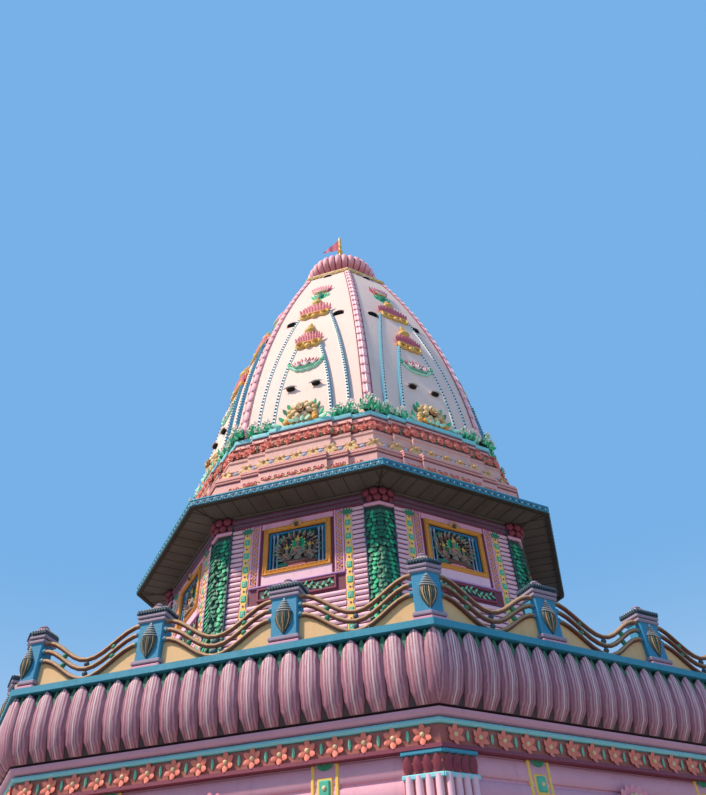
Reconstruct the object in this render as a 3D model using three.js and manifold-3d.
// An octagonal Hindu temple: a ground storey with a lotus cornice, a terrace with a
// parapet, a drum with framed relief windows, a broad eave and a curved tower that
// carries a ribbed crown, a kalash finial and a pennant.
// Millimetres, Z up. The origin is on the ground, on the axis of the octagon.
// Side 1 faces -Y and the sides run anticlockwise seen from above.
import * as THREE from 'three';
import { mergeVertices } from 'three/addons/utils/BufferGeometryUtils.js';
import Module from 'manifold-3d';

const wasm = await Module();
wasm.setup();

// Driving sizes
const SIDES = 8;
const TURN = (2 * Math.PI) / SIDES;
const HALF = Math.tan(TURN / 2); // half a side's length, over its apothem
const CORNER = 1 / Math.cos(TURN / 2); // a corner's radius, over the apothem
const GAP = 0.3; // between pieces that bear on each other

const ground = {
  apothem: 7700, floorApothem: 8150, wall: 300, floor: 150, top: 5515,
  pilaster: 520, pilasterProud: 70,
  doorWidth: 1900, doorSpring: 2500, blindDepth: 110,
};
const terrace = { slabTop: 5815, beamTop: 5915, beamApothem: 8204, beamWidth: 620 };
const lotus = {
  // insets are from the bulge's corner radius, rises are from the foot, drops from the slab's top
  foot: 4830, apothem: 8120, footInset: 190, lip: 20, shoulderInset: 60, shoulderRise: 240,
  bulgeRise: 620, headInset: 40, headDrop: 60, edgeInset: 90,
};
const parapet = {
  post: 430, cornerArm: 235, outer: 8125, depth: 290,
  base: 6055, shaft: 6630, moulding: 6810, cap: 6900, peak: 7050,
  baseProud: 40, mouldingProud: 45, capProud: 75, peakInset: 70,
  rail: 76, railApothem: 8060, railDrop: 415, railHeights: [6675, 6530, 6375], railSteps: 6,
  bays: 3, panelReach: 700, panelTop: 6235, panelThick: 80, panelApothem: 7930,
  lap: 20, tie: 110,
};
const drum = {
  apothem: 4680, wall: 260, pier: 350, pierProud: 70, eaveUnderside: 10780,
  windowWidth: 1370, windowFoot: 9240, windowHead: 10200,
  frameSide: 110, frameFoot: 110, frameHead: 112, frameProud: 70,
  sillDrop: 200, sillTall: 220, sillProud: 45, inlay: 1,
};
const capital = {
  foot: 10440, radius: 375, centre: 4800, collar: 60, neckInset: 110, bowlInset: 65,
  bowlRise: 120, rimDrop: 90, rimInset: 30,
};
const relief = {
  clear: 4, rim: 45, depth: 90, bar: 50, barInset: 150, slab: 900, thick: 70,
  setback: 20, recess: 10,
};
// The seated figures of a relief: place across, height and how far each stands proud.
const figures = [
  { across: 0, tall: 840, proud: 110 },
  { across: -300, tall: 640, proud: 80 },
  { across: 300, tall: 640, proud: 80 },
];
const eave = { apothem: 6000 / CORNER, top: 10950 };
const steps = { inner: 860, outer: 1360, proud: 80 }; // the stepped middle of each tower side
const mouldings = [
  // top height and corner radius of each course above the eave, from the lowest up
  { top: 11640, radius: 5330 },
  { top: 11890, radius: 5400 },
  { top: 12870, radius: 5030 },
  { top: 13270, radius: 4800 },
  { top: 13420, radius: 4890 },
];
const tower = {
  foot: 13420, head: 23180, footRadius: 4690, headRadius: 1970, footLean: 0.055, headLean: 0.465,
  wall: 330, roofRise: 130, courses: 8,
  ridgeWidth: 230, ridgeProud: 75,
  outerPanel: { half: 1280, topHalf: 500, top: 19060, power: 1.8, proud: steps.proud },
  innerPanel: { half: 800, topHalf: 340, top: 17000, power: 1.9, proud: 2 * steps.proud },
  slot: { across: 790, height: 18800, width: 380, tall: 240, depth: 200 },
  vent: { across: 0, height: 22950, width: 320, tall: 170, depth: 200 },
  clearance: 300,
};
const crown = {
  neckRadius: 1120, neckTop: 24180, radius: 1450, top: 25330, ribs: 32, ribDepth: 0.06,
};
const kalash = {
  top: 28280, tip: 240, stem: 200, potRadius: 400, squat: 0.62,
  collar: 27080, collarHalf: 60, collarLip: 20, collarFlare: 1.9, spireRadius: 62,
};
const flag = { top: 27960, foot: 27210, reach: 720, fall: 320, thick: 16, angle: Math.PI + TURN / 2 };

// Materials
const paint = (name, colour, roughness = 0.7, metalness = 0) => {
  const material = new THREE.MeshStandardMaterial({ color: colour, roughness, metalness });
  material.name = name;
  return material;
};
const stone = paint('plinth_stone', 0xb9b0a5, 0.85);
const pinkWall = paint('pink_wall', 0xd899b4);
const concrete = paint('terrace_concrete', 0x9c958c, 0.9);
const teal = paint('teal_paint', 0x2f9fb0);
const petalPink = paint('petal_pink', 0xcf8aa4);
const postBlue = paint('post_blue', 0x2c9cc4);
const leafGreen = paint('leaf_green', 0x1f8468);
const reliefBlue = paint('relief_blue', 0x4f7f90);
const eaveGrey = paint('eave_grey', 0x8b7f78, 0.85);
const mouldingPink = paint('moulding_pink', 0xdc9aa6);
const towerPink = paint('tower_pink', 0xf3dcd6);
const crownPink = paint('crown_pink', 0xd07f95);
const gold = paint('kalash_gold', 0xd9a63c, 0.4, 0.3);
const cloth = paint('pennant_cloth', 0xd33b55, 0.9);

// Solids

// A closed geometry as a solid: shared corners are merged and slivers dropped.
function solid(geometry) {
  const bare = geometry.clone();
  bare.deleteAttribute('normal');
  bare.deleteAttribute('uv');
  const merged = mergeVertices(bare, 0.01);
  const index = merged.index.array;
  const triangles = [];
  for (let i = 0; i < index.length; i += 3) {
    const [a, b, c] = [index[i], index[i + 1], index[i + 2]];
    if (a !== b && b !== c && c !== a) triangles.push(a, b, c);
  }
  return new wasm.Manifold(new wasm.Mesh({
    numProp: 3,
    vertProperties: new Float32Array(merged.attributes.position.array),
    triVerts: new Uint32Array(triangles),
  }));
}

function geometryOf(body) {
  const mesh = body.getMesh();
  const geometry = new THREE.BufferGeometry();
  geometry.setAttribute('position', new THREE.BufferAttribute(mesh.vertProperties, 3));
  geometry.setIndex(new THREE.BufferAttribute(mesh.triVerts, 1));
  return geometry;
}

const joined = (bodies) => bodies.reduce((sum, body) => sum.add(body));

// A point in plan, by its side (0 faces -Y), its place across the side and its apothem.
function planPoint(side, across, apothem) {
  const angle = side * TURN - Math.PI / 2;
  const [c, s] = [Math.cos(angle), Math.sin(angle)];
  return new THREE.Vector2(c * apothem - s * across, s * apothem + c * across);
}

const eachSide = (make) => Array.from({ length: SIDES }, (_, side) => make(side));
const octagon = (apothem) => eachSide((side) => planPoint(side, apothem * HALF, apothem));

// An upright prism on a plan outline.
function prismGeometry(points, bottom, top, hole) {
  const shape = new THREE.Shape(points);
  if (hole) shape.holes.push(new THREE.Path(hole));
  const prism = new THREE.ExtrudeGeometry(shape, { depth: top - bottom, bevelEnabled: false });
  return prism.translate(0, 0, bottom);
}
const prism = (...sizes) => solid(prismGeometry(...sizes));

// A box by its width in X, its two Y faces and its two heights.
function blockGeometry(left, right, front, back, bottom, top) {
  const box = new THREE.BoxGeometry(right - left, back - front, top - bottom);
  return box.translate((left + right) / 2, (front + back) / 2, (bottom + top) / 2);
}
const block = (...sizes) => solid(blockGeometry(...sizes));

// An outline drawn in elevation (across, height), pushed out from y = -near to y = -far.
function panelGeometry(shape, near, far, curveSegments = 3) {
  const panel = new THREE.ExtrudeGeometry(shape, {
    depth: far - near, bevelEnabled: false, curveSegments,
  });
  return panel.rotateX(Math.PI / 2).translate(0, -near, 0);
}

// A profile of (radius, height) points turned about Z. With eight segments its corners
// are the octagon's corners.
function turnedGeometry(profile, segments = SIDES) {
  const points = profile.map(([radius, height]) => new THREE.Vector2(radius, height));
  return new THREE.LatheGeometry(points, segments, TURN / 2).rotateX(Math.PI / 2);
}
const turned = (...sizes) => solid(turnedGeometry(...sizes));

// The same geometry repeated on all eight sides.
const aroundAll = (geometry) => joined(
  eachSide((side) => solid(geometry.clone().rotateZ(side * TURN))),
);

// The scene graph
const temple = new THREE.Group();
temple.name = 'hindu_temple';

function addPiece(name, body, material, side = 0) {
  const geometry = body.isBufferGeometry ? body : geometryOf(body);
  const mesh = new THREE.Mesh(geometry, material);
  mesh.name = name;
  mesh.rotation.z = side * TURN;
  temple.add(mesh);
}

function addOnEachSide(name, body, material) {
  const geometry = geometryOf(body);
  eachSide((side) => addPiece(`${name}_${side + 1}`, geometry, material, side));
}

// Ground storey

function archShape(width, spring, foot) {
  const shape = new THREE.Shape();
  shape.moveTo(-width / 2, foot);
  shape.lineTo(width / 2, foot);
  shape.lineTo(width / 2, spring);
  shape.absarc(0, spring, width / 2, 0, Math.PI, false);
  return shape;
}

// One wall, mitred to its neighbours, with half a pilaster at each end.
function groundWall(doorway) {
  const { apothem, wall, pilaster, pilasterProud, floor, top } = ground;
  const mitre = (reach) => reach * HALF - GAP;
  const face = apothem + pilasterProud;
  const inside = apothem - wall;
  const outline = [
    [mitre(inside), inside], [mitre(face), face],
    [mitre(face) - pilaster, face], [mitre(face) - pilaster, apothem],
  ];
  const mirrored = outline.map(([across, reach]) => [-across, reach]).reverse();
  const points = [...outline, ...mirrored].map(([across, reach]) => planPoint(0, across, reach));
  const body = prism(points.reverse(), floor + GAP, top);
  const arch = archShape(ground.doorWidth, ground.doorSpring, floor - GAP);
  const near = doorway ? inside - wall : apothem - ground.blindDepth;
  return body.subtract(solid(panelGeometry(arch, near, face + wall, 5)));
}

function groundStorey() {
  addPiece('plinth_floor', prismGeometry(octagon(ground.floorApothem), 0, ground.floor), stone);
  const blind = geometryOf(groundWall(false));
  eachSide((side) => addPiece(
    side === 0 ? 'ground_wall_1_doorway' : `ground_wall_${side + 1}`,
    side === 0 ? groundWall(true) : blind, pinkWall, side,
  ));
}

// Terrace: the slab on the walls, the lotus cornice round it and the beam on top

function terraceDeck() {
  const wallFace = ground.apothem;
  const slabEdge = octagon(wallFace);
  addPiece('terrace_slab', prismGeometry(slabEdge, ground.top + GAP, terrace.slabTop), concrete);

  const { slabTop, beamApothem, beamWidth, beamTop } = terrace;
  const back = (wallFace + ground.pilasterProud + GAP) * CORNER;
  const bulge = lotus.apothem * CORNER;
  addPiece('lotus_cornice', turnedGeometry([
    [back, lotus.foot], [bulge - lotus.footInset, lotus.foot + lotus.lip],
    [bulge - lotus.shoulderInset, lotus.foot + lotus.shoulderRise],
    [bulge, lotus.foot + lotus.bulgeRise],
    [bulge - lotus.headInset, slabTop - lotus.headDrop],
    [bulge - lotus.edgeInset, slabTop - GAP], [back, slabTop - GAP], [back, lotus.foot],
  ]), petalPink);

  addPiece('terrace_beam', prismGeometry(
    octagon(beamApothem), slabTop + GAP, beamTop, octagon(beamApothem - beamWidth).reverse(),
  ), teal);
}

// Parapet: a corner post, two posts and three bays of waved rails on each side

// One post on a plan outline, which stands proud at the base, moulding and cap.
// A margin makes it larger all over, to cut clearance for it.
function post(outline, margin = 0) {
  const { base, shaft, moulding, cap, peak, peakInset } = parapet;
  const { baseProud, mouldingProud, capProud } = parapet;
  const courses = [
    [baseProud, terrace.beamTop + GAP, base], [0, base, shaft],
    [mouldingProud, shaft, moulding], [capProud, moulding, cap], [-peakInset, cap, peak],
  ];
  return joined(courses.map(([proud, bottom, top]) => prism(
    outline(proud + margin), bottom - margin, top + margin,
  )));
}

function midPost(centre) {
  const { post: width, outer, depth } = parapet;
  return post((proud) => [
    planPoint(0, centre - width / 2 - proud, outer + proud),
    planPoint(0, centre - width / 2 - proud, outer - depth - proud),
    planPoint(0, centre + width / 2 + proud, outer - depth - proud),
    planPoint(0, centre + width / 2 + proud, outer + proud),
  ]);
}

// The corner post bends round the corner between a side and the one before it.
function cornerPost(side, margin) {
  const { cornerArm, outer, depth } = parapet;
  const arm = outer * HALF - cornerArm;
  return post((proud) => [
    planPoint(side - 1, arm - proud, outer + proud),
    planPoint(side - 1, arm - proud, outer - depth - proud),
    planPoint(side, -(outer - depth - proud) * HALF, outer - depth - proud),
    planPoint(side, -arm + proud, outer - depth - proud),
    planPoint(side, -arm + proud, outer + proud),
    planPoint(side, -(outer + proud) * HALF, outer + proud),
  ], margin);
}

// A rail's outline in elevation over one bay: level at the posts, lowest at mid bay.
function railShape(from, to, height) {
  const { rail, railDrop, railSteps } = parapet;
  const line = (offset) => Array.from({ length: railSteps + 1 }, (_, i) => {
    const part = i / railSteps;
    const sag = (railDrop * (1 - Math.cos(2 * Math.PI * part))) / 2;
    return new THREE.Vector2(from + (to - from) * part, height - sag + offset);
  });
  return new THREE.Shape([...line(-rail / 2), ...line(rail / 2).reverse()]);
}

// The quarter arch panel beside a post; turn is 1 to the post's right and -1 to its left.
function archPanel(edge, turn) {
  const { panelReach, panelTop, panelThick, panelApothem, lap } = parapet;
  const foot = terrace.beamTop + GAP;
  const shape = new THREE.Shape();
  shape.moveTo(edge - turn * lap, foot);
  shape.lineTo(edge + turn * panelReach, foot);
  shape.absellipse(edge, foot, panelReach, panelTop - foot,
    turn > 0 ? 0 : Math.PI, Math.PI / 2, turn < 0);
  shape.lineTo(edge - turn * lap, panelTop);
  return solid(panelGeometry(
    shape, panelApothem - panelThick / 2, panelApothem + panelThick / 2,
  ));
}

function parapetSide() {
  const { post: width, cornerArm, outer, bays, rail, railApothem, railHeights, lap } = parapet;
  const side = 2 * terrace.beamApothem * HALF;
  const posts = [-side / 6, side / 6];
  const corner = outer * HALF - cornerArm;
  const edges = [
    [-corner, posts[0] - width / 2], [posts[0] + width / 2, posts[1] - width / 2],
    [posts[1] + width / 2, corner],
  ];
  const pieces = [cornerPost(0), ...posts.map(midPost)];
  for (let bay = 0; bay < bays; bay += 1) {
    const [from, to] = edges[bay];
    for (const height of railHeights) {
      const shape = railShape(from - lap, to + lap, height);
      pieces.push(solid(panelGeometry(shape, railApothem - rail / 2, railApothem + rail / 2)));
    }
    pieces.push(archPanel(from, 1), archPanel(to, -1));
  }
  // A tie joins the rails and the panel that end at the next side's corner post.
  const { panelThick, panelApothem, tie } = parapet;
  pieces.push(block(
    corner - tie, corner, -railApothem - rail / 4, panelThick / 2 - panelApothem,
    terrace.beamTop + GAP, railHeights[0],
  ));
  return joined(pieces).subtract(cornerPost(1, GAP));
}

// Drum: piers at the corners, windowed walls between them

function drumPier() {
  const { apothem, wall, pier, pierProud, eaveUnderside } = drum;
  const face = apothem + pierProud;
  const inside = apothem - wall;
  const arm = apothem * HALF - pier;
  const foot = terrace.slabTop + GAP;
  const shaft = prism([
    planPoint(0, arm, face), planPoint(0, face * HALF, face), planPoint(1, -arm, face),
    planPoint(1, -arm, inside), planPoint(0, inside * HALF, inside), planPoint(0, arm, inside),
  ], foot, eaveUnderside - GAP);
  const { radius, centre, collar, neckInset, bowlInset, bowlRise, rimDrop, rimInset } = capital;
  const corner = TURN / 2 - Math.PI / 2;
  const flare = turnedGeometry([
    [0, capital.foot - collar], [radius - neckInset, capital.foot - collar],
    [radius - bowlInset, capital.foot], [radius - bowlInset, capital.foot + bowlRise],
    [radius, eaveUnderside - rimDrop], [radius - rimInset, eaveUnderside - GAP],
    [0, eaveUnderside - GAP],
  ], 12).translate(centre * Math.cos(corner), centre * Math.sin(corner), 0);
  const clear = prism(octagon(apothem + GAP), foot, eaveUnderside);
  return shaft.add(solid(flare).subtract(clear));
}

function drumWall() {
  const { apothem, wall, pier, eaveUnderside, windowWidth, windowFoot, windowHead } = drum;
  const half = apothem * HALF - pier - GAP;
  const foot = terrace.slabTop + GAP;
  const body = block(-half, half, -apothem, wall - apothem, foot, eaveUnderside - GAP);
  const { frameSide, frameFoot, frameHead, frameProud, inlay } = drum;
  const frame = block(
    -windowWidth / 2 - frameSide, windowWidth / 2 + frameSide,
    -apothem - frameProud, -apothem + inlay, windowFoot - frameFoot, windowHead + frameHead,
  );
  const opening = block(
    -windowWidth / 2, windowWidth / 2, -apothem - wall, wall, windowFoot, windowHead,
  );
  const { sillDrop, sillTall, sillProud } = drum;
  const sillTop = windowFoot - frameFoot - sillDrop;
  const sill = block(
    -windowWidth / 2 - frameSide, windowWidth / 2 + frameSide,
    -apothem - sillProud, -apothem + inlay, sillTop - sillTall, sillTop,
  );
  return body.add(frame).add(sill).subtract(opening);
}

// A seated figure in low relief with a halo behind its head, as an outline in elevation.
function figureShape(across, foot, tall) {
  const edge = [
    [0.3, 0], [0.3, 0.11], [0.14, 0.24], [0.18, 0.5], [0.07, 0.57],
    [0.2, 0.66], [0.2, 0.82], [0.09, 0.93],
  ];
  const half = edge.map(([x, y]) => [x * tall, foot + y * tall]);
  const mirrored = half.map(([x, y]) => [-x, y]).reverse();
  return new THREE.Shape([...half, ...mirrored].map(([x, y]) => new THREE.Vector2(across + x, y)));
}

// The unit in the window: a rim, a bar on each side and a relief slab with three figures.
function windowRelief() {
  const { clear, rim, depth, bar, barInset, slab, thick, setback, recess } = relief;
  const { apothem, windowWidth, windowFoot, windowHead } = drum;
  const half = windowWidth / 2 - clear / 2;
  const foot = windowFoot + GAP;
  const head = windowHead - clear;
  const front = -(apothem - setback);
  const outer = block(-half, half, front, front + depth, foot, head);
  const inner = block(
    -half + rim, half - rim, front - recess, front + depth + recess, foot + rim, head - rim,
  );
  const bars = [-1, 1].map((hand) => block(
    hand * (half - barInset) - bar / 2, hand * (half - barInset) + bar / 2,
    front + recess, front + depth - recess, foot + rim / 2, head - rim / 2,
  ));
  const back = block(-slab / 2, slab / 2, front + recess, front + recess + thick,
    foot + rim / 2, head - rim / 2);
  const face = -front - recess;
  const carved = figures.map(({ across, tall, proud }) => solid(panelGeometry(
    figureShape(across, foot + rim / 2, tall), face - thick / 2, face + proud,
  )));
  return joined([outer.subtract(inner), ...bars, back, ...carved]);
}

// Tower

// The stepped plan of a course: each side stands forward twice towards its middle.
function steppedPlan(radius) {
  const apothem = radius / CORNER;
  const { inner, outer, proud } = steps;
  return eachSide((side) => [
    [-outer, 0], [-outer, proud], [-inner, proud], [-inner, 2 * proud],
    [inner, 2 * proud], [inner, proud], [outer, proud], [outer, 0], [apothem * HALF, 0],
  ].map(([across, forward]) => planPoint(side, across, apothem + forward))).flat();
}

function entablature() {
  const hollow = octagon((tower.footRadius - tower.wall) / CORNER).reverse();
  let bottom = eave.top + GAP;
  const courses = mouldings.map(({ top, radius }) => {
    const course = prism(steppedPlan(radius), bottom, top, hollow);
    bottom = top;
    return course;
  });
  return joined(courses);
}

const rise = (tower.head - tower.foot) / 3;
const towerCurve = new THREE.CubicBezierCurve(
  new THREE.Vector2(tower.footRadius, tower.foot + GAP),
  new THREE.Vector2(tower.footRadius - tower.footLean * rise, tower.foot + rise),
  new THREE.Vector2(tower.headRadius + tower.headLean * rise, tower.head - rise),
  new THREE.Vector2(tower.headRadius, tower.head),
);
const towerLine = (offset) => towerCurve.getPoints(tower.courses)
  .map(({ x, y }) => [x + offset, y]);

// The shell between two offsets of the tower's line, open at the foot and the head.
const towerSkin = (outside, inside) => {
  const outer = towerLine(outside * CORNER);
  const inner = towerLine(inside * CORNER).reverse();
  return turned([...outer, ...inner, outer[0]]);
};

function towerShell() {
  const { head, headRadius, wall, roofRise } = tower;
  const inner = towerLine(-wall * CORNER).reverse();
  const [[innerTop]] = inner;
  inner[0] = [innerTop, head - wall];
  const outer = towerLine(0);
  return turned([
    ...outer, [headRadius * 0.6, head + roofRise], [0, head + roofRise],
    [0, head - wall], ...inner, outer[0],
  ]);
}

// A raised panel's outline on a side: its edges curve inwards towards its top.
function towerPanel({ half, topHalf, top, power }) {
  const count = 6;
  const edge = Array.from({ length: count + 1 }, (_, i) => {
    const part = i / count;
    const across = topHalf + (half - topHalf) * (1 - part ** power);
    return new THREE.Vector2(across, tower.foot + GAP + (top - tower.foot - GAP) * part);
  });
  const mirrored = edge.map(({ x, y }) => new THREE.Vector2(-x, y)).reverse();
  return new THREE.Shape([...edge, ...mirrored]);
}

function towerRidge() {
  const { ridgeWidth, ridgeProud, wall } = tower;
  const outer = towerLine(ridgeProud);
  const inner = towerCurve.getPoints(tower.courses / 2).map(({ x, y }) => [x - wall / 2, y]);
  const outline = [...outer, ...inner.reverse()];
  const shape = new THREE.Shape(outline.map(([x, y]) => new THREE.Vector2(x, y)));
  const rib = new THREE.ExtrudeGeometry(shape, { depth: ridgeWidth, bevelEnabled: false });
  return rib.translate(0, 0, -ridgeWidth / 2).rotateX(Math.PI / 2).rotateZ(TURN / 2);
}

// A shallow dark niche let into a side at a given height of the tower's face.
function niche({ across, height, width, tall, depth }) {
  const line = towerCurve.getPoint((height - tower.foot) / (tower.head - tower.foot));
  const face = line.x / CORNER;
  return blockGeometry(across - width / 2, across + width / 2,
    -face - tower.clearance, -face + depth, height - tall / 2, height + tall / 2);
}

function shikhara() {
  let body = towerShell();
  for (const panel of [tower.outerPanel, tower.innerPanel]) {
    const reach = [tower.headRadius / 2, eave.apothem];
    const outline = aroundAll(panelGeometry(towerPanel(panel), ...reach));
    body = body.add(towerSkin(panel.proud, -tower.wall / 2).intersect(outline));
  }
  body = body.add(aroundAll(towerRidge()));
  const { slot, vent } = tower;
  const niches = [slot, { ...slot, across: -slot.across }, vent];
  for (const size of niches) body = body.subtract(aroundAll(niche(size)));
  return body;
}

// Crown: neck, ribbed amalaka, kalash and pennant

function amalaka() {
  const { radius, neckTop, top, ribs, ribDepth } = crown;
  const middle = (neckTop + top) / 2;
  const half = (top - neckTop) / 2 - GAP;
  const profile = [[0, middle - half]];
  const arcs = 5;
  for (let i = 0; i <= arcs; i += 1) {
    const angle = -Math.PI / 2 + (Math.PI * i) / arcs;
    profile.push([radius * (0.62 + 0.38 * Math.cos(angle)), middle + half * Math.sin(angle)]);
  }
  profile.push([0, middle + half]);
  const body = turnedGeometry(profile, 2 * ribs);
  const place = body.attributes.position;
  for (let i = 0; i < place.count; i += 1) {
    const angle = Math.atan2(place.getY(i), place.getX(i)) + Math.PI / 2 - TURN / 2;
    const furrow = Math.round((angle * ribs) / Math.PI) % 2 !== 0;
    const scale = furrow ? 1 - ribDepth : 1;
    place.setX(i, place.getX(i) * scale);
    place.setY(i, place.getY(i) * scale);
  }
  return solid(body);
}

function finial() {
  const { top, tip, stem, potRadius, squat, collar, spireRadius } = kalash;
  const { collarHalf, collarLip, collarFlare } = kalash;
  const foot = crown.top + GAP;
  const pot = foot + stem + potRadius * squat;
  return turned([
    [0, foot], [potRadius * 0.9, foot], [potRadius * 0.95, foot + stem / 2],
    [potRadius * 0.48, foot + stem], [potRadius * 0.88, pot - potRadius * squat * 0.6],
    [potRadius, pot], [potRadius * 0.88, pot + potRadius * squat * 0.6],
    [potRadius * 0.38, pot + potRadius * 0.75], [potRadius * 0.65, pot + potRadius * 0.95],
    [spireRadius * 1.7, pot + potRadius * 1.6], [spireRadius, collar - collarHalf],
    [spireRadius * collarFlare, collar - collarLip],
    [spireRadius * collarFlare, collar + collarLip],
    [spireRadius, collar + collarHalf], [spireRadius, top - tip], [0, top],
  ], 12);
}

function pennant() {
  const start = kalash.spireRadius + GAP;
  const shape = new THREE.Shape();
  shape.moveTo(start, flag.foot);
  shape.lineTo(start + flag.reach, flag.foot - flag.fall);
  shape.lineTo(start, flag.top);
  return panelGeometry(shape, -flag.thick / 2, flag.thick / 2).rotateZ(flag.angle);
}

groundStorey();
terraceDeck();
addOnEachSide('parapet', parapetSide(), postBlue);
addOnEachSide('drum_wall', drumWall(), pinkWall);
addOnEachSide('window_relief', windowRelief(), reliefBlue);
addOnEachSide('corner_column', drumPier(), leafGreen);
addPiece('eave_slab', prismGeometry(octagon(eave.apothem), drum.eaveUnderside, eave.top), eaveGrey);
addPiece('entablature', entablature(), mouldingPink);
addPiece('shikhara', shikhara(), towerPink);
addPiece('crown_neck', turnedGeometry([
  [0, tower.head + tower.roofRise + GAP], [crown.neckRadius, tower.head + tower.roofRise + GAP],
  [crown.neckRadius * 0.9, crown.neckTop], [0, crown.neckTop],
], 16), mouldingPink);
addPiece('amalaka', amalaka(), crownPink);
addPiece('kalash', finial(), gold);
addPiece('pennant', pennant(), cloth);

export default temple;
